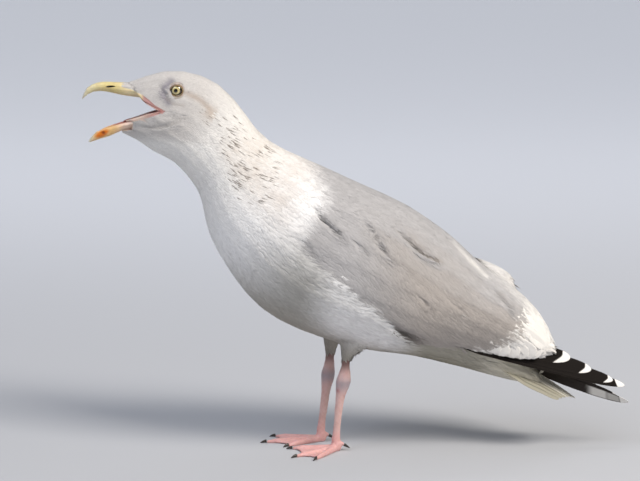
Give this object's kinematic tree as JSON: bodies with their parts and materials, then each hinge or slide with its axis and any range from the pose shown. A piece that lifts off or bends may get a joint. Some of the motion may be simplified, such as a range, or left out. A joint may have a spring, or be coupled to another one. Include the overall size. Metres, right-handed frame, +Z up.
{
  "type": "herring gull",
  "caption": "Life-size still model of a herring gull standing on its webbed feet, body tilted forward, bill open in a call and wings folded.",
  "frame": {"origin": "on the floor under the middle of the bird's own box", "axes": "-X is the way the bird faces, +X its tail end, -Y its left side, +Y its right side, +Z up"},
  "size_m": [0.593, 0.1468, 0.4104],
  "materials": {
    "feathered_body": "soft white body feathers over flesh, fine brown dashes on the nape",
    "white_feathers": "white tail feathers and coverts",
    "grey_feathers": "smooth pale grey wing feathers with white tips",
    "black_feathers": "black-brown flight feathers with white spots",
    "leg_skin": "pink scaly leg and web skin",
    "bill_horn": "satin yellow horn with an orange-red spot near the lower tip",
    "mouth_flesh": "moist pink flesh",
    "eye": "clear glossy eye, pale yellow iris, black pupil",
    "claw_horn": "dark smooth horn"
  },
  "bodies": {
    "root": {"bill_lower": "bill_horn", "bill_upper": "bill_horn", "claw_hind_left": "claw_horn", "claw_hind_right": "claw_horn", "claw_inner_left": "claw_horn", "claw_inner_right": "claw_horn", "claw_middle_left": "claw_horn", "claw_middle_right": "claw_horn", "claw_outer_left": "claw_horn", "claw_outer_right": "claw_horn", "eye_left": "eye", "eye_right": "eye", "foot_left": "leg_skin", "foot_right": "leg_skin", "head": "feathered_body", "neck": "feathered_body", "primaries_left": "black_feathers", "primaries_right": "black_feathers", "shank_left": "leg_skin", "shank_right": "leg_skin", "tail": "white_feathers", "tail_coverts": "white_feathers", "thigh_left": "feathered_body", "thigh_right": "feathered_body", "tongue": "mouth_flesh", "trunk": "feathered_body", "wing_left": "grey_feathers", "wing_right": "grey_feathers"}
  },
  "joints": []
}
